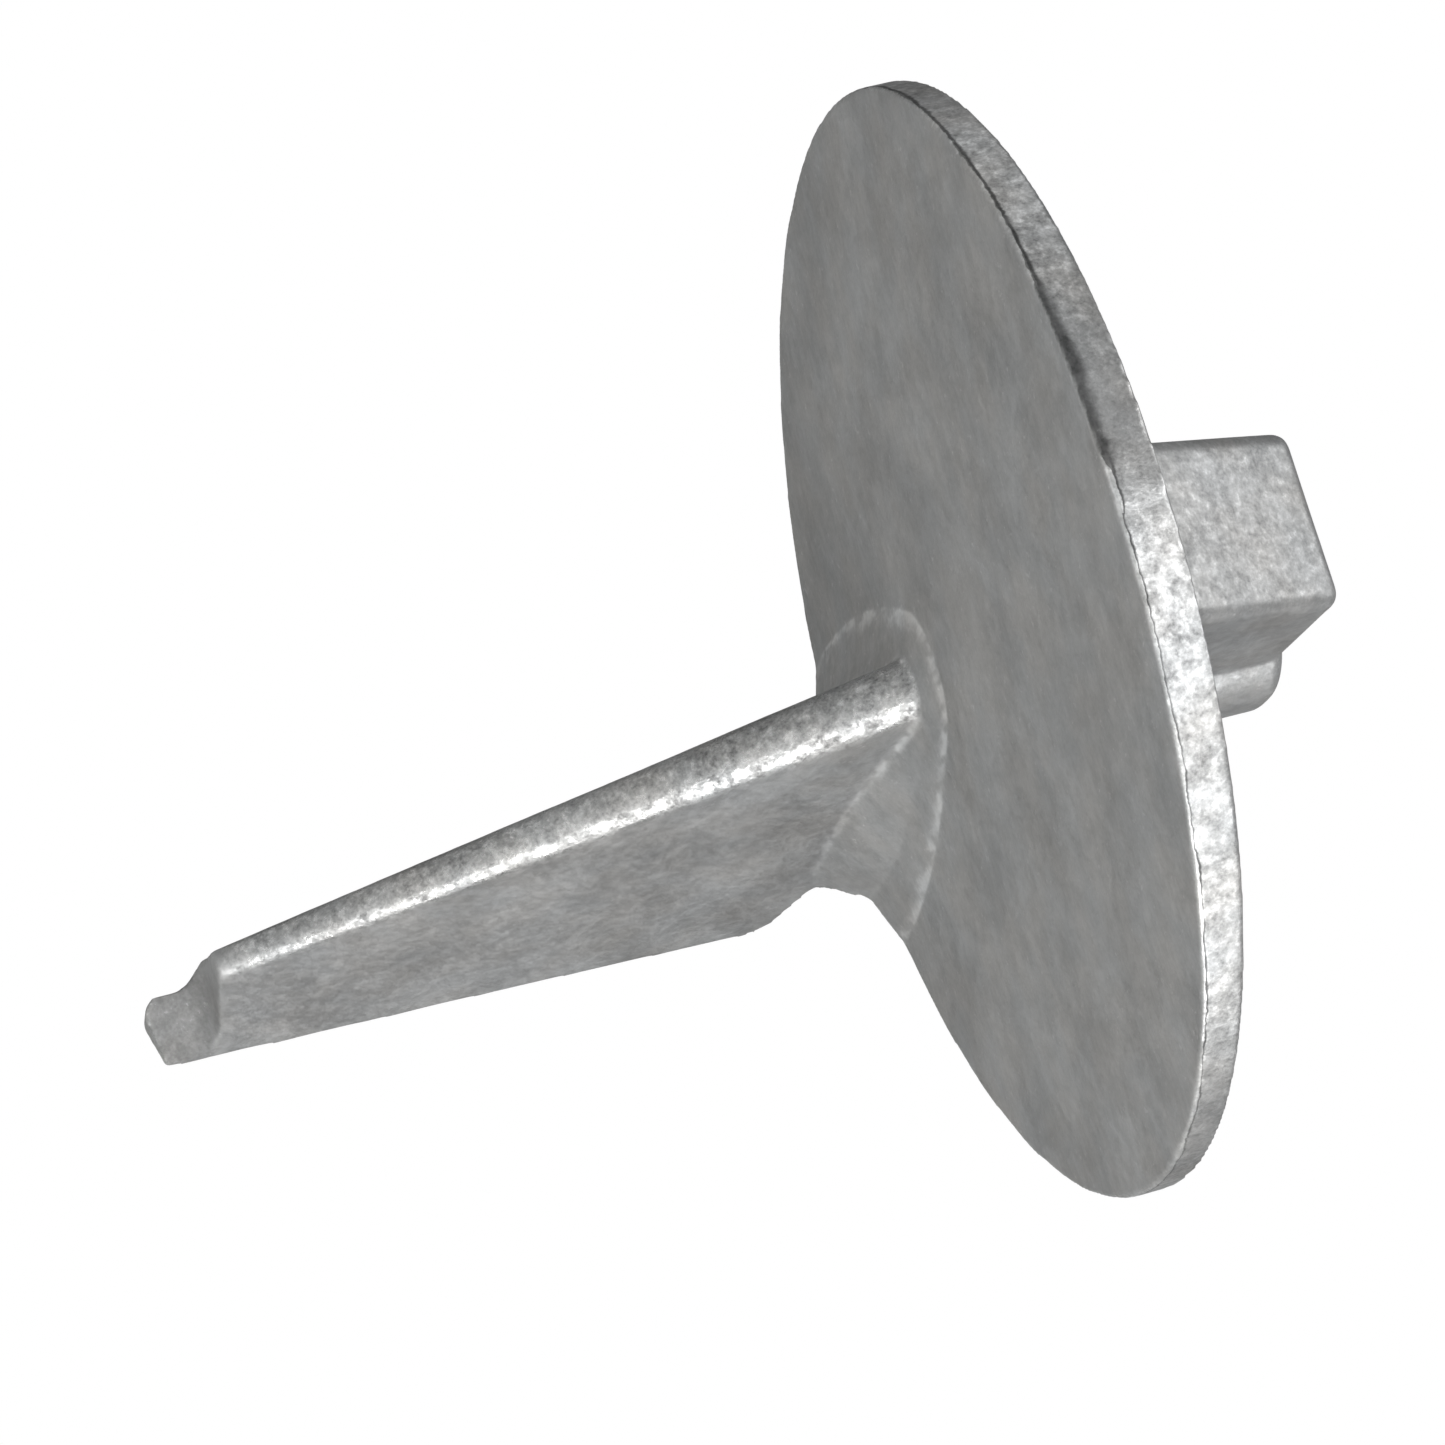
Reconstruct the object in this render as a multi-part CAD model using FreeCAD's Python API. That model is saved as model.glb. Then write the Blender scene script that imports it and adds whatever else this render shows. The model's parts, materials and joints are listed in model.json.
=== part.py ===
import FreeCAD, Part

# Sacrificial trim-tab anode for an outboard motor: a round plate with a boss above and a fin below.
# Millimetres. The origin is on the bolt axis, in the plate's upper face.
# +Z runs up through the boss, +X runs aft and +Y is starboard.

import math
import os

from FreeCAD import Vector

# Round plate. Its upper face is flat. Its lower face is crowned, so it is thinner at the sides.
PLATE_RADIUS = 50.0
PLATE_THICKNESS = 4.5
PLATE_SIDE_THICKNESS = 3.1

# Fin: a wedge with a round, swept leading edge. It is turned a few degrees to port.
FIN_TURN = 6.0
FIN_TURN_X = 26.9
FIN_SWEEP = 0.512
FIN_NOSE_X = 10.7
FIN_NOSE_RADIUS_ROOT = 3.25
FIN_NOSE_RADIUS_TIP = 1.4
FIN_AFT_X = 62.0
FIN_HALF_WIDTH_ROOT = 6.6
FIN_HALF_WIDTH_TIP = 4.4
FIN_TIP_Z = -69.6

# Root flare between the plate and the fin: a low skirt, then a steeper collar up to the flanks.
# Each ring of it is (front X, shoulder X, shoulder half width, middle half width, aft half width).
FLARE_MIDDLE_X = 22.0
FLARE_AFT_X = 58.0
SKIRT_RING = (7.6, 10.6, 6.1, 10.8, 13.6)
SKIRT_TOP_Z = -4.4
COLLAR_RING = (11.0, 13.0, 3.4, 6.5, 7.9)
COLLAR_FRONT_Z = -4.9
COLLAR_SLOPE = -0.021
RIDGE_RING = (14.0, 14.6, 0.5, 1.0, 1.2)
RIDGE_FRONT_Z = -1.6
RIDGE_SLOPE = -0.28

# Notch behind the plate's edge, where the fin's aft end is cut back.
NOTCH_FRONT_X = 50.6
NOTCH_TOP_Z = -6.8
NOTCH_CORNER_Z = -9.0
NOTCH_SLOPE = 0.45
NOTCH_INNER_RADIUS = 3.4
NOTCH_OUTER_ROUND = 4.2

# Casting gate left standing below the fin's tip, at its aft end. Its front face slants from its
# starboard side back to the fin's aft port corner, and its end slopes up to port.
STUB_FRONT_X = 56.9
STUB_FRONT_SLANT = 0.75
STUB_FILLET = 3.0
STUB_SHOULDER_Y = 2.0
STUB_SHOULDER_Z = -71.1
STUB_SHOULDER_SLOPE = 1.4
STUB_SHOULDER_HOLLOW = 0.15
STUB_SIDE_Y = 1.4
STUB_SIDE_TOP_Z = -73.0
STUB_END_Z = -76.0
STUB_END_SLOPE = 0.25
STUB_ROUND = 1.5
STUB_CUT_REACH = 12.0

# Boss: a key with a leaning front, in front of a wider rounded head around the bolt.
BOSS_HEIGHT = 23.3
KEY_HALF_WIDTH = 8.1
KEY_FRONT_X = -19.3
KEY_LEAN = 0.52
KEY_CORNER_ROUND = 1.6
HEAD_HALF_WIDTH = 10.6
HEAD_FRONT_X = -5.4
HEAD_LENGTH = 18.0
HEAD_CORNER_RADIUS = 8.2
BOSS_END_ROUND = 1.6

# Steel insert for an M10 x 1.5 bolt. The hole is drawn at its tapping-drill size.
INSERT_ACROSS_FLATS = 11.5
INSERT_BOTTOM_Z = -2.6
INSERT_GROOVE_DEPTH = 0.7
INSERT_GROOVE_LENGTH = 4.0
INSERT_GROOVE_Z = 9.0
THREAD_DRILL_RADIUS = 4.25
HOLE_BOTTOM_Z = -0.2
HOLE_MOUTH_CHAMFER = 0.75
DRILL_POINT_ANGLE = 118.0

FAR = 120.0
TOLERANCE = 0.01
UP = Vector(0, 0, 1)
AFT = Vector(1, 0, 0)


def side_point(x, z):
    """A point in the fore-aft plane."""
    return Vector(x, 0, z)


def arc(start, middle, end):
    return Part.Arc(start, middle, end).toShape()


def prism(outline, direction):
    return Part.Face(Part.Wire(outline)).extrude(direction)


def side_prism(outline, half_width):
    """A prism to both sides of the fore-aft plane, on an outline that lies in that plane."""
    solid = prism(outline, Vector(0, 2 * half_width, 0))
    solid.translate(Vector(0, -half_width, 0))
    return solid


def edges_where(shape, is_wanted):
    """The shape's edges that pass a test of their middle point and their direction there."""
    chosen = []
    for edge in shape.Edges:
        middle = (edge.FirstParameter + edge.LastParameter) / 2
        if is_wanted(edge.valueAt(middle), edge.tangentAt(middle)):
            chosen.append(edge)
    return chosen


def edges_through(shape, point):
    """The shape's edges whose middle is at a point."""
    return edges_where(shape, lambda middle, _: middle.distanceToPoint(point) < TOLERANCE)


def crowned_slab():
    """A square slab whose lower face is an arc across the boat."""
    sag = PLATE_THICKNESS - PLATE_SIDE_THICKNESS
    crown_radius = (PLATE_RADIUS**2 + sag**2) / (2 * sag)
    corner = Vector(-FAR, -FAR, -2 * PLATE_THICKNESS)
    slab = Part.makeBox(2 * FAR, 2 * FAR, 2 * PLATE_THICKNESS, corner)
    crown_start = Vector(-FAR, 0, crown_radius - PLATE_THICKNESS)
    return slab.common(Part.makeCylinder(crown_radius, 2 * FAR, crown_start, AFT))


def fin_section(z, nose_radius, half_width):
    """The fin's outline at one level: a round nose, two straight flanks and a flat back."""
    centre_x = FIN_NOSE_X - z * FIN_SWEEP + nose_radius
    reach = FIN_AFT_X - centre_x
    flare = math.atan2(half_width, reach) - math.asin(nose_radius / math.hypot(half_width, reach))
    tangent_x = centre_x - nose_radius * math.sin(flare)
    tangent_y = nose_radius * math.cos(flare)
    port = Vector(tangent_x, -tangent_y, z)
    starboard = Vector(tangent_x, tangent_y, z)
    nose = arc(port, Vector(centre_x - nose_radius, 0, z), starboard)
    aft_starboard = Vector(FIN_AFT_X, half_width, z)
    aft_port = Vector(FIN_AFT_X, -half_width, z)
    rest = Part.makePolygon([starboard, aft_starboard, aft_port, port])
    return Part.Wire([nose] + rest.Edges)


def fin_blank():
    """The fin before its aft end and tip are cut."""
    root = fin_section(0, FIN_NOSE_RADIUS_ROOT, FIN_HALF_WIDTH_ROOT)
    tip = fin_section(STUB_END_Z, FIN_NOSE_RADIUS_TIP, FIN_HALF_WIDTH_TIP)
    return Part.makeLoft([root, tip], True, True)


def flare_ring(ring, front_z, slope):
    """One ring of the root flare, on a plane that slopes along X."""
    front_x, shoulder_x, shoulder_y, middle_y, aft_y = ring

    def on_plane(x, y):
        return Vector(x, y, front_z + slope * x)

    shoulder_port = on_plane(shoulder_x, -shoulder_y)
    shoulder_starboard = on_plane(shoulder_x, shoulder_y)
    aft_port = on_plane(FLARE_AFT_X, -aft_y)
    aft_starboard = on_plane(FLARE_AFT_X, aft_y)
    nose = arc(shoulder_port, on_plane(front_x, 0), shoulder_starboard)
    starboard = arc(shoulder_starboard, on_plane(FLARE_MIDDLE_X, middle_y), aft_starboard)
    back = Part.makeLine(aft_starboard, aft_port)
    port = arc(aft_port, on_plane(FLARE_MIDDLE_X, -middle_y), shoulder_port)
    return Part.Wire([nose, starboard, back, port])


def root_flare():
    """The skirt and the collar around the fin's root."""
    skirt_bottom = flare_ring(SKIRT_RING, SKIRT_TOP_Z, 0)
    collar_bottom = flare_ring(COLLAR_RING, COLLAR_FRONT_Z, COLLAR_SLOPE)
    ridge = flare_ring(RIDGE_RING, RIDGE_FRONT_Z, RIDGE_SLOPE)
    skirt = Part.makeLoft([skirt_bottom, collar_bottom], True, True)
    collar = Part.makeLoft([collar_bottom, ridge], True, True)
    return skirt.fuse(collar)


def fin_side_view():
    """What is kept of the fin behind the plate's edge: the notch, the aft end and all below."""
    inner = side_point(NOTCH_FRONT_X, NOTCH_CORNER_Z)
    outer = side_point(FIN_AFT_X, NOTCH_CORNER_Z - (FIN_AFT_X - NOTCH_FRONT_X) * NOTCH_SLOPE)
    front_top = side_point(0, NOTCH_TOP_Z)
    notch_top = side_point(NOTCH_FRONT_X, NOTCH_TOP_Z)
    aft_end = side_point(FIN_AFT_X, -FAR)
    front_end = side_point(0, -FAR)
    outline = Part.makePolygon([front_top, notch_top, inner, outer, aft_end, front_end, front_top])
    kept = side_prism(outline.Edges, PLATE_RADIUS)
    for corner, radius in ((inner, NOTCH_INNER_RADIUS), (outer, NOTCH_OUTER_ROUND)):
        kept = kept.makeFillet(radius, edges_through(kept, corner))
    return kept


def turn_fin(shape):
    """Turn a shape from the fore-aft plane to the fin's own plane."""
    shape.rotate(side_point(FIN_TURN_X, 0), UP, -FIN_TURN)
    return shape


def tip_cutter():
    """What is cut away under the fin's tip, up to the stub's slanted front face and its fillet."""
    slant = Vector(STUB_FRONT_SLANT, -1, 0) * STUB_CUT_REACH
    pivot = Vector(STUB_FRONT_X, STUB_SIDE_Y, -FAR)
    ahead = Vector(-FAR, 0, 0)
    corners = [pivot + slant, pivot - slant, pivot - slant + ahead, pivot + slant + ahead, pivot + slant]
    cutter = prism(Part.makePolygon(corners).Edges, UP * (FAR + FIN_TIP_Z))

    def is_top_slant(middle, direction):
        return middle.z > FIN_TIP_Z - TOLERANCE and abs(direction.x * direction.y) > TOLERANCE

    return cutter.makeFillet(STUB_FILLET, edges_where(cutter, is_top_slant))


def stub_cutter():
    """What is cut away to starboard of the stub and below its end: one outline across the fin."""

    def across(y, z):
        return Vector(0, y, z)

    high_y = STUB_SHOULDER_Y + STUB_CUT_REACH
    high = across(high_y, STUB_SHOULDER_Z + STUB_CUT_REACH * STUB_SHOULDER_SLOPE)
    shoulder = across(STUB_SHOULDER_Y, STUB_SHOULDER_Z)
    side_top = across(STUB_SIDE_Y, STUB_SIDE_TOP_Z)
    shoulder_middle = (shoulder + side_top) / 2 - across(STUB_SHOULDER_HOLLOW, 0)
    centre = across(STUB_SIDE_Y - STUB_ROUND, STUB_END_Z + STUB_ROUND)
    side_end = centre + across(STUB_ROUND, 0)
    end_turn = math.atan(STUB_END_SLOPE)
    corner_turn = (math.pi / 2 - end_turn) / 2
    corner = centre + across(math.cos(corner_turn), -math.sin(corner_turn)) * STUB_ROUND
    end_start = centre - across(math.sin(end_turn), math.cos(end_turn)) * STUB_ROUND
    end_port = end_start + across(-STUB_CUT_REACH, STUB_CUT_REACH * STUB_END_SLOPE)
    outline = [
        Part.makeLine(high, shoulder),
        arc(shoulder, shoulder_middle, side_top),
        Part.makeLine(side_top, side_end),
        arc(side_end, corner, end_start),
        Part.makeLine(end_start, end_port),
        Part.makeLine(end_port, across(end_port.y, -FAR)),
        Part.makeLine(across(end_port.y, -FAR), across(high_y, -FAR)),
        Part.makeLine(across(high_y, -FAR), high),
    ]
    return prism(outline, AFT * FAR)


def plate_and_fin():
    """The round plate, the flare and the fin."""
    blank = crowned_slab().fuse([turn_fin(fin_blank()), turn_fin(root_flare())])
    disc = Part.makeCylinder(PLATE_RADIUS, 2 * FAR, Vector(0, 0, -FAR))
    kept = blank.common(disc.fuse(turn_fin(fin_side_view())))
    return kept.cut([turn_fin(tip_cutter()), turn_fin(stub_cutter())])


def boss_key():
    """The key: a bar across the fore-aft plane, with a front face that leans aft."""
    outline = Part.makePolygon([
        side_point(KEY_FRONT_X - KEY_LEAN * BOSS_HEIGHT, 0),
        side_point(KEY_FRONT_X, BOSS_HEIGHT),
        side_point(0, BOSS_HEIGHT),
        side_point(0, 0),
        side_point(KEY_FRONT_X - KEY_LEAN * BOSS_HEIGHT, 0),
    ])
    key = side_prism(outline.Edges, KEY_HALF_WIDTH)

    def is_front_corner(middle, direction):
        return middle.x < KEY_FRONT_X and abs(direction.z) > TOLERANCE

    return key.makeFillet(KEY_CORNER_ROUND, edges_where(key, is_front_corner))


def boss_head():
    """The head: a block with large upright corner rounds."""
    corner = Vector(HEAD_FRONT_X, -HEAD_HALF_WIDTH, 0)
    block = Part.makeBox(HEAD_LENGTH, 2 * HEAD_HALF_WIDTH, BOSS_HEIGHT, corner)
    upright = edges_where(block, lambda _, direction: direction.isParallel(UP, TOLERANCE))
    return block.makeFillet(HEAD_CORNER_RADIUS, upright)


def boss():
    """The key and the head in one, rounded around the boss's end."""
    whole = boss_key().fuse(boss_head()).removeSplitter()
    end_edges = edges_where(whole, lambda middle, _: middle.z > BOSS_HEIGHT - TOLERANCE)
    return whole.makeFillet(BOSS_END_ROUND, end_edges)


def insert_body():
    """The insert's outside: a hexagonal bar with a turned groove that locks it in the casting."""
    corner_radius = INSERT_ACROSS_FLATS / math.sqrt(3)
    corners = []
    for corner in range(7):
        angle = math.radians(60 * corner)
        corners.append(Vector(corner_radius * math.cos(angle), corner_radius * math.sin(angle), INSERT_BOTTOM_Z))
    bar = prism(Part.makePolygon(corners).Edges, UP * (BOSS_HEIGHT - INSERT_BOTTOM_Z))
    groove_start = Vector(0, 0, INSERT_GROOVE_Z)
    ring = Part.makeCylinder(INSERT_ACROSS_FLATS, INSERT_GROOVE_LENGTH, groove_start)
    core = Part.makeCylinder(INSERT_ACROSS_FLATS / 2 - INSERT_GROOVE_DEPTH, INSERT_GROOVE_LENGTH, groove_start)
    return bar.cut(ring.cut(core))


def bolt_hole():
    """The blind hole: a drill point, a round wall and a chamfered mouth."""
    point_depth = THREAD_DRILL_RADIUS / math.tan(math.radians(DRILL_POINT_ANGLE / 2))
    point = Part.makeCone(0, THREAD_DRILL_RADIUS, point_depth, Vector(0, 0, HOLE_BOTTOM_Z - point_depth))
    wall = Part.makeCylinder(THREAD_DRILL_RADIUS, BOSS_HEIGHT - HOLE_BOTTOM_Z, Vector(0, 0, HOLE_BOTTOM_Z))
    mouth_radius = THREAD_DRILL_RADIUS + HOLE_MOUTH_CHAMFER
    mouth_start = Vector(0, 0, BOSS_HEIGHT - HOLE_MOUTH_CHAMFER)
    mouth = Part.makeCone(THREAD_DRILL_RADIUS, mouth_radius, HOLE_MOUTH_CHAMFER, mouth_start)
    return point.fuse([wall, mouth])


def anode_casting():
    """Plate, flare, fin and boss, in one pour around the insert."""
    return plate_and_fin().fuse(boss()).removeSplitter().cut(insert_body())


def threaded_insert():
    return insert_body().cut(bolt_hole())


def save(name, shape):
    """Write one sub-part and print what it measures."""
    print(name, "solids", len(shape.Solids), "valid", shape.isValid(), "volume", round(shape.Volume))
    shape.exportStep("parts/" + name + ".step")


os.makedirs("parts", exist_ok=True)
save("anode_casting", anode_casting())
save("threaded_insert", threaded_insert())
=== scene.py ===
import functools
import itertools
import json
import math

import bmesh
import bpy
import numpy as np
from mathutils import Matrix, Vector


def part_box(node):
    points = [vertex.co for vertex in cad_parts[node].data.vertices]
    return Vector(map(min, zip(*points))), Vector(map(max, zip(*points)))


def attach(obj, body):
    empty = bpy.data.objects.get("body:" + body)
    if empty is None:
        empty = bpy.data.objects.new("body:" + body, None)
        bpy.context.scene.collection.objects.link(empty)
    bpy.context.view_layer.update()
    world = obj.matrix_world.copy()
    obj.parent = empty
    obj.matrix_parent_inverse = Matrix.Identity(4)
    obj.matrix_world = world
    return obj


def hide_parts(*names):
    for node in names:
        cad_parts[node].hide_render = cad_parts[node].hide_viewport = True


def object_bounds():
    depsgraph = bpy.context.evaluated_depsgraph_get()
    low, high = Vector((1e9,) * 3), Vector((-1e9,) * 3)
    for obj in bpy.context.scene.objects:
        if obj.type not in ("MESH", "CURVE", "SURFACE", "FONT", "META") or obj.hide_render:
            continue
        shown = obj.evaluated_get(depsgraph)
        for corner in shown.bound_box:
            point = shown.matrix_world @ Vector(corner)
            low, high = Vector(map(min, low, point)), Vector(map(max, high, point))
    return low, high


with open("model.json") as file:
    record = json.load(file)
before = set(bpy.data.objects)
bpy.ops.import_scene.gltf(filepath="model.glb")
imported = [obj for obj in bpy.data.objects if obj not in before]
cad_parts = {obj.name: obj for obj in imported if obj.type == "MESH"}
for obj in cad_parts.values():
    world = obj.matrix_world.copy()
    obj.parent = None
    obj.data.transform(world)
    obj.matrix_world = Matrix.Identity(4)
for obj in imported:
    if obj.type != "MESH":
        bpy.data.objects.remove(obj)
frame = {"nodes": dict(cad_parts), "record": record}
CAD_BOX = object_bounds()
MM = 0.001

# Camera: a long lens, ahead of the fin's tip and below it. It looks up and aft, with starboard at the top.
CAMERA_HEADING = math.radians(12.007)
CAMERA_PITCH = math.radians(13.716)
CAMERA_ROLL = math.radians(76.15)
CAMERA_DISTANCE = 0.403
CAMERA_AIM_OFFSET = Vector((0.0002, 0.0003, 0.0008))
CAMERA_LENS = 113.6

# Studio. Each light has a name, a place, a side and a power.
FLOOR_DROP = 0.16
FLOOR_SIZE = 30.0
FLOOR_COLOUR = (0.80, 0.80, 0.79)
FLOOR_VARIATION = 0.01
FLOOR_ROUGHNESS = 0.9
FLOOR_GLOW = 0.7
SKY_SEEN = 1.0
SKY_LIGHT = 0.13
LIGHT_UP = Vector((0, 0.1, 1))
LIGHTS = (
    ("key", (-0.65, -0.72, 0.24), 0.7, 3.0),
    ("key_ahead", (-0.95, -0.20, 0.25), 0.5, 2.5),
    ("key_port", (-0.05, -0.97, 0.25), 0.6, 1.8),
    ("top_ahead", (-0.50, 0.00, 0.85), 0.7, 3.5),
    ("aft", (0.95, 0.20, 0.20), 0.6, 0.3),
    ("starboard", (-0.10, 0.95, 0.28), 0.7, 0.8),
    ("starboard_ahead", (-0.60, 0.78, 0.24), 0.5, 0.4),
    ("nose", (-0.19, -0.36, -0.17), 0.20, 0.55),
    ("port_low", (-0.06, -0.48, -0.09), 0.26, 0.85),
)

# The casting's mesh.
MERGE_DISTANCE = 0.001 * MM
VOXEL = 0.27 * MM
SMOOTHING = 0.5
SMOOTHING_PASSES = 7
TRIANGLES = 190000

# The casting's skin. Each layer has a cell, a height on plain metal, what rough metal adds to it and a seed.
# Heights are in millimetres.
LATTICE = 64
SKIN_LAYERS = (
    (14 * MM, 0.045, 0.0, 11),
    (3.2 * MM, 0.014, 0.022, 12),
    (1.2 * MM, 0.005, 0.012, 13),
)
PIT_CELL = 1.6 * MM
PIT_DEPTH = 0.05
PIT_START = (0.62, 0.85)
PIT_SEED = 14
RIM_ROUGHENING = 0.5
BOSS_ROUGHENING = 0.4

# Where the casting's kinds of surface begin and end. Each mask rises from 0 at the first value to 1 at the
# second. Sharpness is in voxels, and a facing is one part of the unit normal.
EDGE_BLUR = 3
SEAM_BLUR = 14
EDGE_SHARPNESS = (0.03, 0.16)
PAINTED_SHADE_CORNER_SHARPNESS = (0.01, 0.07)
SEAM_SHARPNESS = (0.01, 0.04)
ROOT_LOW = (-24 * MM, -16 * MM)
ROOT_HIGH = (0.0, -4 * MM)
UNDERSIDE_FACING = -0.98
UNDERSIDE_PLAIN_AHEAD_OF = -5 * MM
RIM_START = 49.2 * MM
RIM_LOWEST = -5.0 * MM
RIM_WALL_TILT = 0.6
RIM_SECTORS = 720
RIM_SPAN = 15
RIM_FACING = (0.93, 0.6)
NOSE_TOP = -4.8 * MM
NOSE_FACING = (0.20, 0.45)
NOSE_ABOVE_TIP = (6 * MM, 9 * MM)
GATE_FACING = (0.1, 0.3)
GATE_ABOVE_TIP = (6.6 * MM, 5.4 * MM)
BOSS_BOTTOM = 0.8 * MM
BOSS_FACING = (0.35, 0.6)

# The parting groove along the rim: a thin line that widens to starboard, with one wide stretch, painted dark
# as shade in the groove, and a thin burr below it painted light as a highlight. Their widths, waves and
# heights are in millimetres.
GROOVE_WIDTH = 0.20
GROOVE_GROWTH = 0.20
GROOVE_GROWTH_RANGE = (0.0, 20 * MM)
GROOVE_STRETCH = 0.60
GROOVE_STRETCH_START = (-3 * MM, 5 * MM)
GROOVE_STRETCH_END = (20 * MM, 11 * MM)
GROOVE_WIDTH_WAVE = 0.06
GROOVE_LONG_WAVE = 0.07
GROOVE_SHORT_WAVE = 0.05
GROOVE_IS_WIDE = (0.35, 0.65)
GROOVE_WIDE_SHIFT = 0.6
GROOVE_BOTTOM = (0.03, 0.11)
GROOVE_SOFTNESS = 0.10
GROOVE_WIDE_SOFTNESS = 0.45
BURR_TOP = (0.06, 0.14)

# Shader noises: a cell in metres, detail, roughness, a seed and a scale of the coordinates on each axis.
EVEN = (1.0, 1.0, 1.0)
NOISES = {
    "patches": (10 * MM, 3.0, 0.6, 1.0, EVEN),
    "speckle": (1.0 * MM, 3.0, 0.7, 2.0, EVEN),
    "grain": (0.35 * MM, 2.0, 0.6, 3.0, EVEN),
    "streaks": (1.1 * MM, 3.0, 0.65, 4.0, (1.0, 0.45, 1.0)),
    "steel_patches": (3 * MM, 3.0, 0.6, 5.0, EVEN),
    "turned_lines": (1.2 * MM, 2.0, 0.6, 6.0, (1.0, 1.0, 12.0)),
    "floor_patches": (0.4, 2.0, 0.5, 7.0, EVEN),
    "blotches": (2.4 * MM, 3.0, 0.65, 8.0, EVEN),
    "groove_long": (4.0 * MM, 2.0, 0.5, 9.0, EVEN),
    "groove_width": (3.0 * MM, 2.0, 0.5, 10.0, EVEN),
    "tint": (7 * MM, 2.0, 0.5, 11.0, EVEN),
    "groove_short": (0.8 * MM, 2.0, 0.5, 12.0, EVEN),
    "seam_mottle": (1.8 * MM, 2.0, 0.55, 13.0, (0.5, 1.0, 1.0)),
}
SEED_SHIFT = (1.0, 0.7, 1.3)
NOISE_RANGE = (0.3, 0.7)

# Cast metal. Four values are a ramp, which turns a noise between the first two into a value between the last
# two. A wave is how far a noise moves a value up and down. Most other numbers are what a full mask adds.
METAL_LEVEL = 0.44
METAL_LOWEST_LEVEL = 0.06
METAL_LEVEL_WAVES = (("patches", 0.035), ("streaks", 0.028), ("blotches", 0.020), ("grain", 0.020))
METAL_SPECKS = (0.62, 0.72, 0.0, 0.12)
GRIT_BRIGHT = (0.46, 0.66, 0.0, 0.20)
GRIT_DARK = (0.30, 0.46, -0.12, 0.0)
GRIT_WAVES = (("grain", 0.04), ("blotches", 0.06))
GRIT_ON_BOSS = 0.5
GRIT_ON_EDGES = 0.8
SKIRT_START = (0.02, 0.10, 0.0, 1.0)
SKIRT_END = (0.15, 0.50, 1.0, 0.0)
SKIRT_END_WAVE = 0.10
SEAM_LEVEL = (0.38, 0.62, 0.03, 0.28)
# The edge level is wear on the edges. The corner and gate levels are painted shade: concave corners and the
# gate's face are darkened as if shaded.
WEAR_AND_PAINTED_SHADE_LEVELS = (("edge", 0.06), ("corner", -0.08), ("gate_matte_and_painted_shade", -0.09))
# The groove level is painted shade in the parting groove, and the burr level a painted highlight along the
# rim's lower edge.
GROOVE_PAINTED_SHADE = -0.32
BURR_PAINTED_HIGHLIGHT = 0.12
TINT_LEVEL = 0.995
TINT_WAVE = 0.012
METAL_METALLIC = 0.8
METAL_ROUGHNESS = (0.3, 0.7, 0.50, 0.58)
GRIT_ROUGHNESS = (0.35, 0.62, -0.06, -0.18)
NOSE_ROUGHNESS = (0.40, 0.60, 0.14, -0.09)
SPECKLE_ROUGHNESS_WAVE = -0.07
GROOVE_ROUGHNESS = 0.2
GATE_ROUGHNESS = 0.35
METAL_BUMPS = (("speckle", 0.8), ("grain", 0.25), ("streaks", 0.15))
GROOVE_BUMP = -0.4
BUMP_STRENGTH = 0.18
NOSE_BUMP_STRENGTH = 0.60
RIM_BUMP_STRENGTH = 0.20
BUMP_DISTANCE = 0.12 * MM

# Insert steel.
STEEL_LEVEL = (0.3, 0.7, 0.42, 0.52)
STEEL_LINE_WAVE = 0.03
STEEL_TINT = (1.0, 0.98, 0.94)
STEEL_ROUGHNESS = (0.3, 0.7, 0.28, 0.42)
STEEL_BUMP_STRENGTH = 0.3
STEEL_BUMP_DISTANCE = 0.05 * MM

# Insert: an M10 x 1.5 thread in a hexagonal bar with a locking groove. The thread's root flat and flank are
# shares of half a turn. The end's rounding is a share of the radius across flats.
THREAD_PITCH = 1.5 * MM
THREAD_ROOT_RADIUS = 5.0 * MM
THREAD_CREST_RADIUS = 4.19 * MM
THREAD_ROOT_FLAT = 0.1
THREAD_FLANK = 0.75
THREAD_END_ABOVE_FLOOR = 3.0 * MM
MOUTH_CHAMFER = 0.75 * MM
DRILL_POINT = 2.2 * MM
LOCK_GROOVE_BOTTOM = 9.0 * MM
LOCK_GROOVE_TOP = 13.0 * MM
LOCK_GROOVE_DEPTH = 0.7 * MM
END_CHAMFER = 0.3 * MM
END_ROUNDING = 1.12
RING_POINTS = 96
ROWS_PER_TURN = 12
SHARP_ANGLE = math.radians(35)


def add_object(name, data):
    """A new object in the scene."""
    thing = bpy.data.objects.new(name, data)
    bpy.context.scene.collection.objects.link(thing)
    return thing


def value_noise(points, cell, seed):
    """Smooth random values from -1 to 1, with one draw for each cell of a lattice."""
    lattice = np.random.default_rng(seed).uniform(-1.0, 1.0, (LATTICE,) * 3)
    scaled = points / cell
    base = np.floor(scaled).astype(int)
    part = scaled - base
    part = part * part * (3 - 2 * part)
    values = np.zeros(len(points))
    for corner in itertools.product((0, 1), repeat=3):
        weight = np.prod(np.where(corner, part, 1 - part), axis=1)
        values += weight * lattice[tuple(((base + corner) % LATTICE).T)]
    return values


def smooth_step(low, high, values):
    """A smooth turn from 0 at low to 1 at high. High may be the smaller one."""
    part = np.clip((values - low) / (high - low), 0.0, 1.0)
    return part * part * (3 - 2 * part)


def apply_modifier(piece, kind, **settings):
    modifier = piece.modifiers.new("step", kind)
    for key, value in settings.items():
        setattr(modifier, key, value)
    with bpy.context.temp_override(object=piece, active_object=piece, selected_objects=[piece]):
        bpy.ops.object.modifier_apply(modifier=modifier.name)


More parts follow.
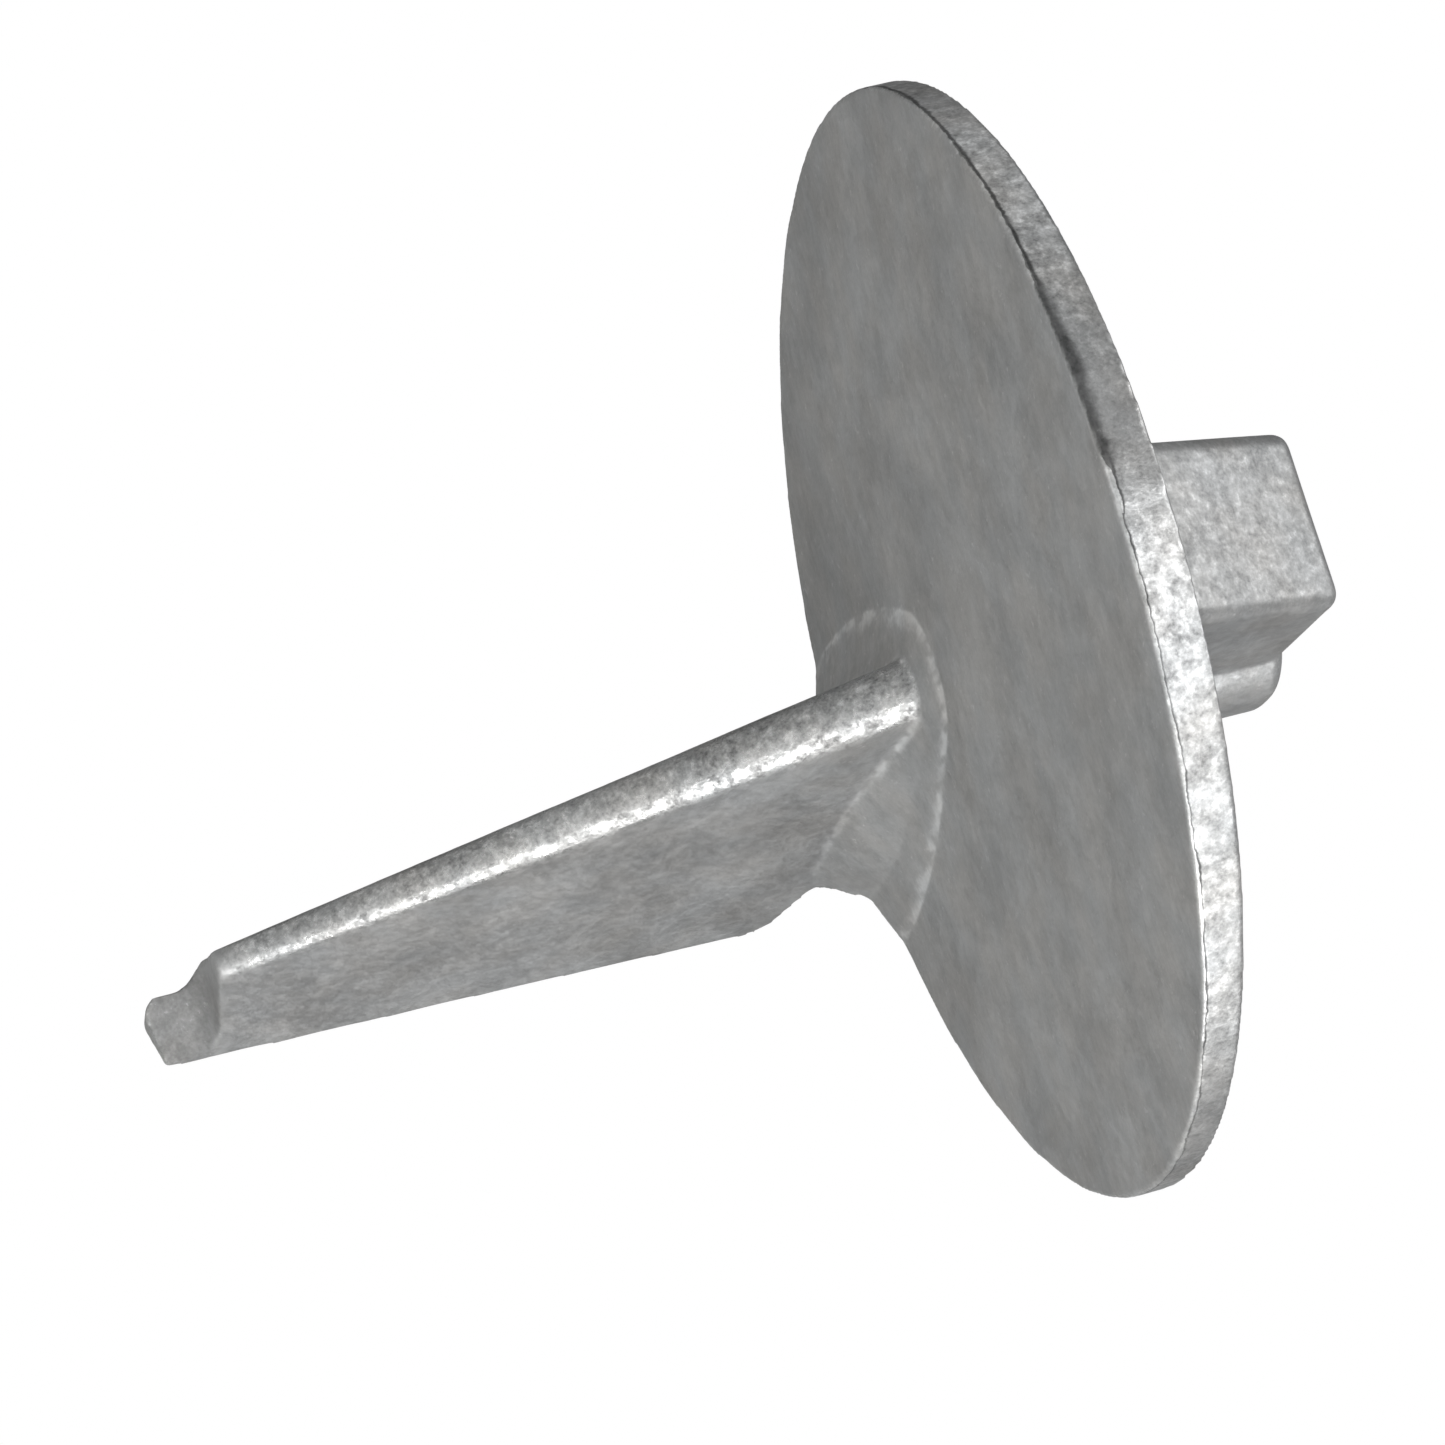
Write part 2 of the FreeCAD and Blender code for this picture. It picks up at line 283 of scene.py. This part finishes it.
def vertex_array(mesh, attribute):
    values = np.empty(len(mesh.vertices) * 3)
    mesh.vertices.foreach_get(attribute, values)
    return values.reshape(-1, 3)


def merge_copies(mesh):
    """Join the vertices that the CAD mesh holds once for each face."""
    shell = bmesh.new()
    shell.from_mesh(mesh)
    bmesh.ops.remove_doubles(shell, verts=shell.verts, dist=MERGE_DISTANCE)
    shell.to_mesh(mesh)
    shell.free()


def edge_sharpness(mesh, points, normals, passes):
    """How far each vertex stands out of its neighbours: above 0 on an edge, below 0 in a corner."""
    pairs = np.empty(len(mesh.edges) * 2, dtype=np.int64)
    mesh.edges.foreach_get("vertices", pairs)
    first, second = pairs.reshape(-1, 2).T
    count = np.bincount(pairs, minlength=len(points))

    def mean_of_neighbours(values):
        sums = np.bincount(first, weights=values[second], minlength=len(points))
        sums += np.bincount(second, weights=values[first], minlength=len(points))
        return sums / np.maximum(count, 1)

    middles = np.stack([mean_of_neighbours(points[:, axis]) for axis in range(3)], axis=1)
    height = np.sum((points - middles) * normals, axis=1) / VOXEL
    for _ in range(passes):
        height = (height + mean_of_neighbours(height)) / 2
    return height


def rim_height(points, normals):
    """The height of each vertex above the lower edge of the plate's rim, and a mask of the rim."""
    radius = np.hypot(points[:, 0], points[:, 1])
    on_rim = (radius > RIM_START) & (points[:, 2] > RIM_LOWEST)
    sector = (np.arctan2(points[:, 1], points[:, 0]) / math.tau * RIM_SECTORS).astype(int) % RIM_SECTORS
    wall = on_rim & (np.abs(normals[:, 2]) < RIM_WALL_TILT)
    lowest = np.zeros(RIM_SECTORS)
    np.minimum.at(lowest, sector[wall], points[wall, 2])
    around = np.concatenate([lowest, lowest, lowest])
    smooth = np.convolve(around, np.ones(RIM_SPAN) / RIM_SPAN, "same")[RIM_SECTORS:-RIM_SECTORS]
    return points[:, 2] - smooth[sector], on_rim


def underside_relief(points, normals):
    """How far each vertex stands out below the plate's crowned underside, in metres."""
    plain = (normals[:, 2] < UNDERSIDE_FACING) & (points[:, 0] < UNDERSIDE_PLAIN_AHEAD_OF)
    crown = np.polyfit(points[plain, 1] ** 2, points[plain, 2], 1)
    return np.polyval(crown, points[:, 1] ** 2) - points[:, 2]


def groove_width(y):
    """The width of the parting groove along the rim."""
    stretch = smooth_step(*GROOVE_STRETCH_START, y) * smooth_step(*GROOVE_STRETCH_END, y)
    return GROOVE_WIDTH + GROOVE_GROWTH * smooth_step(*GROOVE_GROWTH_RANGE, y) + GROOVE_STRETCH * stretch


def make_zones(mesh):
    """Masks from 0 to 1 of the casting's kinds of surface, and three measures in millimetres."""
    points = vertex_array(mesh, "co")
    normals = vertex_array(mesh, "normal")
    sharpness = edge_sharpness(mesh, points, normals, EDGE_BLUR)
    wide_sharpness = edge_sharpness(mesh, points, normals, SEAM_BLUR)
    height, on_rim = rim_height(points, normals)
    x, y, z = points.T
    facing_ahead = -normals[:, 0]
    above_tip = z - CAD_BOX[0].z
    root = smooth_step(*ROOT_LOW, z) * smooth_step(*ROOT_HIGH, z) * (np.hypot(x, y) < RIM_START)
    nose = smooth_step(*NOSE_FACING, facing_ahead) * smooth_step(*NOSE_ABOVE_TIP, above_tip)
    return {
        "edge": smooth_step(*EDGE_SHARPNESS, sharpness),
        # corner: concave corners away from the fin's root, painted darker as shade.
        "corner": smooth_step(*PAINTED_SHADE_CORNER_SHARPNESS, -sharpness) * (1 - root),
        "seam": root * smooth_step(*SEAM_SHARPNESS, -wide_sharpness),
        "root": root,
        "rim": on_rim * smooth_step(*RIM_FACING, np.abs(normals[:, 2])),
        "nose": (z < NOSE_TOP) * nose,
        # gate: the face below the fin's tip, painted darker as shade and made duller.
        "gate_matte_and_painted_shade": smooth_step(*GATE_ABOVE_TIP, above_tip) * smooth_step(*GATE_FACING, facing_ahead),
        "boss": (z > BOSS_BOTTOM) * smooth_step(*BOSS_FACING, facing_ahead),
        "relief": underside_relief(points, normals) / MM,
        "rim_height": height / MM,
        "groove_width": groove_width(y),
    }


def cast_skin(points, zones):
    """How far the cast surface stands out of the smooth one, in metres."""
    rough = np.clip(zones["nose"] + RIM_ROUGHENING * zones["rim"] + BOSS_ROUGHENING * zones["boss"], 0.0, 1.0)
    height = np.zeros(len(points))
    for cell, plain_height, rough_height, seed in SKIN_LAYERS:
        height += (plain_height + rough_height * rough) * value_noise(points, cell, seed)
    height -= PIT_DEPTH * rough * smooth_step(*PIT_START, value_noise(points, PIT_CELL, PIT_SEED))
    return height * MM


def add_attribute(mesh, name, values):
    layer = mesh.attributes.new(name, "FLOAT", "POINT")
    layer.data.foreach_set("value", np.asarray(values, dtype=np.float32))


def make_casting():
    """The casting: the CAD shape with soft cast edges and an uneven skin."""
    piece = add_object("cast_body", frame["nodes"]["anode_casting"].data.copy())
    merge_copies(piece.data)
    apply_modifier(piece, "REMESH", mode="VOXEL", voxel_size=VOXEL, adaptivity=0.0)
    apply_modifier(piece, "SMOOTH", factor=SMOOTHING, iterations=SMOOTHING_PASSES)
    mesh = piece.data
    zones = make_zones(mesh)
    points = vertex_array(mesh, "co")
    points = points + vertex_array(mesh, "normal") * cast_skin(points, zones)[:, None]
    mesh.vertices.foreach_set("co", points.ravel())
    for name, values in zones.items():
        add_attribute(mesh, name, values)
    mesh.update()
    triangles = sum(len(face.vertices) - 2 for face in mesh.polygons)
    if triangles > TRIANGLES:
        apply_modifier(piece, "DECIMATE", ratio=TRIANGLES / triangles)
    piece.data.shade_smooth()
    return piece


def hexagon_radius(angle, across_flats):
    """The distance from the middle of a hexagon to its side, with a corner at angle 0."""
    from_flat = (angle % math.radians(60)) - math.radians(30)
    return across_flats / 2 / math.cos(from_flat)


def thread_radius(angle, depth):
    """The wall of the hole at one angle and one depth below the mouth."""
    turn = (depth / THREAD_PITCH + angle / math.tau) % 1.0
    ridge = abs(2 * turn - 1)
    flank = min(max((ridge - THREAD_ROOT_FLAT) / THREAD_FLANK, 0.0), 1.0)
    return THREAD_ROOT_RADIUS + (THREAD_CREST_RADIUS - THREAD_ROOT_RADIUS) * flank


def outside_rings(low, high, angles):
    """The insert's rings from its bottom, over the locking groove and its end, to the mouth of the hole."""
    across_flats = high.y - low.y
    hexagon = [hexagon_radius(angle, across_flats) for angle in angles]
    rounded = [min(radius, across_flats / 2 * END_ROUNDING) for radius in hexagon]
    groove = [across_flats / 2 - LOCK_GROOVE_DEPTH] * len(angles)
    mouth = [THREAD_CREST_RADIUS + MOUTH_CHAMFER] * len(angles)
    return [
        (low.z, hexagon),
        (LOCK_GROOVE_BOTTOM, hexagon),
        (LOCK_GROOVE_BOTTOM, groove),
        (LOCK_GROOVE_TOP, groove),
        (LOCK_GROOVE_TOP, hexagon),
        (high.z - END_CHAMFER, hexagon),
        (high.z, rounded),
        (high.z, mouth),
    ]


def hole_rings(top, angles):
    """The insert's rings down the hole: a chamfer, the thread and plain wall below it."""
    hole = next(mount for mount in frame["record"]["mounts"] if mount["name"] == "bolt_hole")
    depth = hole["dims"]["length_mm"] * MM
    drill_radius = hole["dims"]["r_mm"] * MM
    rows = round(depth / THREAD_PITCH * ROWS_PER_TURN)
    rings = []
    for row in range(1, rows + 1):
        down = depth * row / rows
        cone = THREAD_CREST_RADIUS + MOUTH_CHAMFER - down
        is_tapped = down < depth - THREAD_END_ABOVE_FLOOR
        wall = [thread_radius(angle, down) if is_tapped else drill_radius for angle in angles]
        rings.append((top - down, [max(radius, cone) for radius in wall]))
    return rings


def make_insert():
    """The threaded insert as one closed mesh of rings."""
    low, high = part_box("threaded_insert")
    angles = [math.tau * point / RING_POINTS for point in range(RING_POINTS)]
    shell = bmesh.new()
    loops = []
    for height, radii in outside_rings(low, high, angles) + hole_rings(high.z, angles):
        loop = [
            shell.verts.new((radius * math.cos(angle), radius * math.sin(angle), height))
            for angle, radius in zip(angles, radii)
        ]
        loops.append(loop)
    drill_point = shell.verts.new((0, 0, loops[-1][0].co.z - DRILL_POINT))
    for index in range(RING_POINTS):
        beside = (index + 1) % RING_POINTS
        for lower, upper in zip(loops, loops[1:]):
            shell.faces.new((lower[index], lower[beside], upper[beside], upper[index]))
        shell.faces.new((loops[-1][index], loops[-1][beside], drill_point))
    shell.faces.new(list(reversed(loops[0])))
    bmesh.ops.recalc_face_normals(shell, faces=shell.faces)
    mesh = bpy.data.meshes.new("threaded_bush")
    shell.to_mesh(mesh)
    shell.free()
    mesh.shade_smooth()
    mesh.set_sharp_from_angle(angle=SHARP_ANGLE)
    return add_object("threaded_bush", mesh)


def fill_socket(tree, socket, value):
    """Set a node's input to a plain value, or link it to another node's socket."""
    if isinstance(value, bpy.types.NodeSocket):
        tree.links.new(value, socket)
    else:
        socket.default_value = value


def add_node(tree, kind, settings=None, **inputs):
    """Add a shader node. Inputs are named with _ for a space."""
    node = tree.nodes.new(kind)
    for key, value in (settings or {}).items():
        setattr(node, key, value)
    for key, value in inputs.items():
        fill_socket(tree, node.inputs[key.replace("_", " ")], value)
    return node


def combine(tree, operation, first, second):
    node = add_node(tree, "ShaderNodeMath", {"operation": operation})
    fill_socket(tree, node.inputs[0], first)
    fill_socket(tree, node.inputs[1], second)
    return node.outputs[0]


def total(tree, *values):
    return functools.reduce(functools.partial(combine, tree, "ADD"), values)


def product(tree, *values):
    return functools.reduce(functools.partial(combine, tree, "MULTIPLY"), values)


def largest(tree, *values):
    return functools.reduce(functools.partial(combine, tree, "MAXIMUM"), values)


def vector_step(tree, operation, vector, other):
    node = add_node(tree, "ShaderNodeVectorMath", {"operation": operation})
    fill_socket(tree, node.inputs[0], vector)
    fill_socket(tree, node.inputs[1], other)
    return node.outputs[0]


def noise(tree, name):
    """One of the named noises over the object's own coordinates, made once in each material."""
    if name not in tree.nodes:
        cell, detail, roughness, seed, scale = NOISES[name]
        place = add_node(tree, "ShaderNodeTexCoord").outputs["Object"]
        scaled = vector_step(tree, "MULTIPLY", place, scale)
        moved = vector_step(tree, "ADD", scaled, [seed * shift for shift in SEED_SHIFT])
        node = add_node(
            tree, "ShaderNodeTexNoise", Vector=moved, Scale=1 / cell, Detail=detail, Roughness=roughness
        )
        node.name = name
    return tree.nodes[name].outputs["Fac"]


def ramp(tree, value, low, high, out_low, out_high):
    """Turn a value between low and high smoothly into one between out_low and out_high."""
    node = add_node(
        tree,
        "ShaderNodeMapRange",
        {"interpolation_type": "SMOOTHSTEP"},
        Value=value,
        From_Min=low,
        From_Max=high,
        To_Min=out_low,
        To_Max=out_high,
    )
    return node.outputs["Result"]


def wave(tree, name, reach):
    """A named noise turned into a value from -reach to reach."""
    return ramp(tree, noise(tree, name), *NOISE_RANGE, -reach, reach)


def zone(tree, name):
    """A mask or measure that make_zones left on the mesh."""
    return add_node(tree, "ShaderNodeAttribute", {"attribute_name": name}).outputs["Fac"]


def new_material(name):
    material = bpy.data.materials.new(name)
    material.use_nodes = True
    tree = material.node_tree
    tree.nodes.clear()
    shader = add_node(tree, "ShaderNodeBsdfPrincipled")
    output = add_node(tree, "ShaderNodeOutputMaterial", Surface=shader.outputs["BSDF"])
    output.is_active_output = True
    return material, tree, shader


def rim_marks(tree):
    """Masks of the parting groove along the rim's lower edge, which is painted dark as shade, and of the thin
    burr below it, which is painted light as a highlight.
    """
    long_wave = wave(tree, "groove_long", GROOVE_LONG_WAVE)
    short_wave = wave(tree, "groove_short", GROOVE_SHORT_WAVE)
    height = total(tree, zone(tree, "rim_height"), total(tree, long_wave, short_wave))
    width = total(tree, zone(tree, "groove_width"), wave(tree, "groove_width", GROOVE_WIDTH_WAVE))
    is_wide = ramp(tree, width, *GROOVE_IS_WIDE, 0.0, 1.0)
    is_thin = ramp(tree, is_wide, 0.0, 1.0, 1.0, 0.0)
    from_bottom = total(tree, height, product(tree, is_wide, GROOVE_WIDE_SHIFT))
    past_groove = combine(tree, "SUBTRACT", height, width)
    softness = total(tree, GROOVE_SOFTNESS, product(tree, is_wide, GROOVE_WIDE_SOFTNESS))
    above_burr = ramp(tree, from_bottom, *GROOVE_BOTTOM, 0.0, 1.0)
    inside = ramp(tree, combine(tree, "DIVIDE", past_groove, softness), -1.0, 1.0, 1.0, 0.0)
    groove = product(tree, above_burr, inside, zone(tree, "rim"))
    burr = product(tree, ramp(tree, height, *BURR_TOP, 1.0, 0.0), is_thin, zone(tree, "rim"))
    return groove, burr


def metal_seams(tree):
    """The bright lines around the fin's root: its creases, and the outer edge of its skirt."""
    relief = zone(tree, "relief")
    skirt_end = total(tree, relief, wave(tree, "blotches", SKIRT_END_WAVE))
    skirt_line = product(
        tree, zone(tree, "root"), ramp(tree, relief, *SKIRT_START), ramp(tree, skirt_end, *SKIRT_END)
    )
    seam = largest(tree, zone(tree, "seam"), skirt_line)
    return product(tree, seam, ramp(tree, noise(tree, "seam_mottle"), *SEAM_LEVEL))


def metal_level(tree, grit, groove, burr):
    """How bright the cast metal is, with painted shade in concave corners, on the gate's face and in the
    parting groove, and a painted highlight on the burr.
    """
    flat_level = total(
        tree,
        METAL_LEVEL,
        *[wave(tree, name, reach) for name, reach in METAL_LEVEL_WAVES],
        ramp(tree, noise(tree, "speckle"), *METAL_SPECKS),
    )
    sparkle = total(
        tree,
        ramp(tree, noise(tree, "speckle"), *GRIT_BRIGHT),
        ramp(tree, noise(tree, "speckle"), *GRIT_DARK),
        *[wave(tree, name, reach) for name, reach in GRIT_WAVES],
    )
    level = total(
        tree,
        flat_level,
        product(tree, grit, combine(tree, "SUBTRACT", 1.0, groove), sparkle),
        # Edges lighter from wear; concave corners and the gate's face darker as painted shade.
        *[product(tree, zone(tree, name), step) for name, step in WEAR_AND_PAINTED_SHADE_LEVELS],
        # The groove's darkening is painted shade, and the burr's brightening a painted highlight.
        product(tree, groove, GROOVE_PAINTED_SHADE),
        product(tree, burr, BURR_PAINTED_HIGHLIGHT),
        metal_seams(tree),
    )
    return largest(tree, level, METAL_LOWEST_LEVEL)


def metal_roughness(tree, grit, groove):
    """How dull the cast metal is."""
    return total(
        tree,
        ramp(tree, noise(tree, "patches"), *METAL_ROUGHNESS),
        product(tree, grit, ramp(tree, noise(tree, "blotches"), *GRIT_ROUGHNESS)),
        product(tree, zone(tree, "nose"), ramp(tree, noise(tree, "speckle"), *NOSE_ROUGHNESS)),
        wave(tree, "speckle", SPECKLE_ROUGHNESS_WAVE),
        product(tree, groove, GROOVE_ROUGHNESS),
        product(tree, zone(tree, "gate_matte_and_painted_shade"), GATE_ROUGHNESS),
    )


def metal_bump(tree, groove):
    """The cast metal's grain, strongest on the nose."""
    height = total(
        tree,
        *[product(tree, noise(tree, name), share) for name, share in METAL_BUMPS],
        product(tree, groove, GROOVE_BUMP),
    )
    strength = total(
        tree,
        product(tree, zone(tree, "nose"), NOSE_BUMP_STRENGTH),
        product(tree, zone(tree, "rim"), RIM_BUMP_STRENGTH),
        BUMP_STRENGTH,
    )
    bump = add_node(tree, "ShaderNodeBump", Height=height, Strength=strength, Distance=BUMP_DISTANCE)
    return bump.outputs["Normal"]


def cast_metal():
    """Grey cast metal: dull and mottled on the flats, bright and speckled on the rim, nose and worn edges."""
    material, tree, shader = new_material("cast_metal")
    grit = largest(
        tree,
        zone(tree, "rim"),
        zone(tree, "nose"),
        product(tree, zone(tree, "boss"), GRIT_ON_BOSS),
        product(tree, zone(tree, "edge"), GRIT_ON_EDGES),
    )
    groove, burr = rim_marks(tree)
    level = metal_level(tree, grit, groove, burr)
    tint = wave(tree, "tint", TINT_WAVE)
    red = product(tree, level, combine(tree, "SUBTRACT", TINT_LEVEL, tint))
    blue = product(tree, level, total(tree, TINT_LEVEL, tint))
    colour = add_node(tree, "ShaderNodeCombineColor", Red=red, Green=level, Blue=blue)
    fill_socket(tree, shader.inputs["Base Color"], colour.outputs["Color"])
    fill_socket(tree, shader.inputs["Roughness"], metal_roughness(tree, grit, groove))
    fill_socket(tree, shader.inputs["Metallic"], METAL_METALLIC)
    fill_socket(tree, shader.inputs["Normal"], metal_bump(tree, groove))
    return material


def insert_steel():
    """Plain turned steel with fine rings and a few dull patches."""
    material, tree, shader = new_material("insert_steel")
    patches = noise(tree, "steel_patches")
    level = total(tree, ramp(tree, patches, *STEEL_LEVEL), wave(tree, "turned_lines", STEEL_LINE_WAVE))
    red, green, blue = [product(tree, level, tint) for tint in STEEL_TINT]
    colour = add_node(tree, "ShaderNodeCombineColor", Red=red, Green=green, Blue=blue)
    bump = add_node(
        tree,
        "ShaderNodeBump",
        Height=noise(tree, "turned_lines"),
        Strength=STEEL_BUMP_STRENGTH,
        Distance=STEEL_BUMP_DISTANCE,
    )
    fill_socket(tree, shader.inputs["Base Color"], colour.outputs["Color"])
    fill_socket(tree, shader.inputs["Roughness"], ramp(tree, patches, *STEEL_ROUGHNESS))
    fill_socket(tree, shader.inputs["Metallic"], 1.0)
    fill_socket(tree, shader.inputs["Normal"], bump.outputs["Normal"])
    return material


def floor_paint():
    """Pale paint. It keeps its brightness for the camera where the lights don't reach, and lights nothing."""
    material, tree, shader = new_material("floor_paint")
    patches = noise(tree, "floor_patches")
    red, green, blue = [
        ramp(tree, patches, *NOISE_RANGE, level - FLOOR_VARIATION, level + FLOOR_VARIATION)
        for level in FLOOR_COLOUR
    ]
    colour = add_node(tree, "ShaderNodeCombineColor", Red=red, Green=green, Blue=blue)
    seen = add_node(tree, "ShaderNodeLightPath").outputs["Is Camera Ray"]
    fill_socket(tree, shader.inputs["Base Color"], colour.outputs["Color"])
    fill_socket(tree, shader.inputs["Roughness"], FLOOR_ROUGHNESS)
    fill_socket(tree, shader.inputs["Emission Color"], colour.outputs["Color"])
    fill_socket(tree, shader.inputs["Emission Strength"], ramp(tree, seen, 0.0, 1.0, 0.0, FLOOR_GLOW))
    return material


def make_floor():
    """A plain pale floor, below the camera."""
    half = FLOOR_SIZE / 2
    height = CAD_BOX[0].z - FLOOR_DROP
    mesh = bpy.data.meshes.new("floor")
    corners = [(-half, -half, height), (half, -half, height), (half, half, height), (-half, half, height)]
    mesh.from_pydata(corners, [], [(0, 1, 2, 3)])
    mesh.materials.append(floor_paint())
    floor = add_object("floor", mesh)


def look_matrix(place, target, up):
    """The turn of a camera or light at place that looks at target."""
    forward = (target - place).normalized()
    right = forward.cross(up).normalized()
    true_up = right.cross(forward)
    return Matrix((right, true_up, -forward)).transposed()


def make_camera():
    forward = Vector((
        math.cos(CAMERA_PITCH) * math.cos(CAMERA_HEADING),
        math.cos(CAMERA_PITCH) * math.sin(CAMERA_HEADING),
        math.sin(CAMERA_PITCH),
    ))
    aim = (CAD_BOX[0] + CAD_BOX[1]) / 2 + CAMERA_AIM_OFFSET
    place = aim - forward * CAMERA_DISTANCE
    level = look_matrix(place, aim, Vector((0, 0, 1)))
    camera = add_object("camera", bpy.data.cameras.new("camera"))
    camera.data.lens = CAMERA_LENS
    camera.location = place
    camera.rotation_euler = (level @ Matrix.Rotation(CAMERA_ROLL, 3, "Z")).to_euler()
    bpy.context.scene.camera = camera


def make_light(name, place, size, power):
    """A square soft light that faces the object."""
    data = bpy.data.lights.new(name, "AREA")
    data.size = size
    data.energy = power
    light = add_object(name, data)
    light.location = place
    light.rotation_euler = look_matrix(Vector(place), Vector((0, 0, 0)), LIGHT_UP).to_euler()


def make_sky():
    """A white background that lights the object only softly."""
    world = bpy.data.worlds.new("studio")
    world.use_nodes = True
    tree = world.node_tree
    tree.nodes.clear()
    seen = add_node(tree, "ShaderNodeLightPath").outputs["Is Camera Ray"]
    strength = ramp(tree, seen, 0.0, 1.0, SKY_LIGHT, SKY_SEEN)
    sky = add_node(tree, "ShaderNodeBackground", Color=(1, 1, 1, 1), Strength=strength)
    add_node(tree, "ShaderNodeOutputWorld", Surface=sky.outputs["Background"])
    bpy.context.scene.world = world


def make_studio():
    bpy.context.scene.view_settings.view_transform = "Standard"
    make_sky()
    make_floor()
    for name, place, size, power in LIGHTS:
        make_light(name, place, size, power)


make_camera()
casting = make_casting()
casting.data.materials.clear()
casting.data.materials.append(cast_metal())
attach(casting, "root")
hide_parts("anode_casting")
insert = make_insert()
insert.data.materials.append(insert_steel())
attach(insert, "root")
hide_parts("threaded_insert")
make_studio()
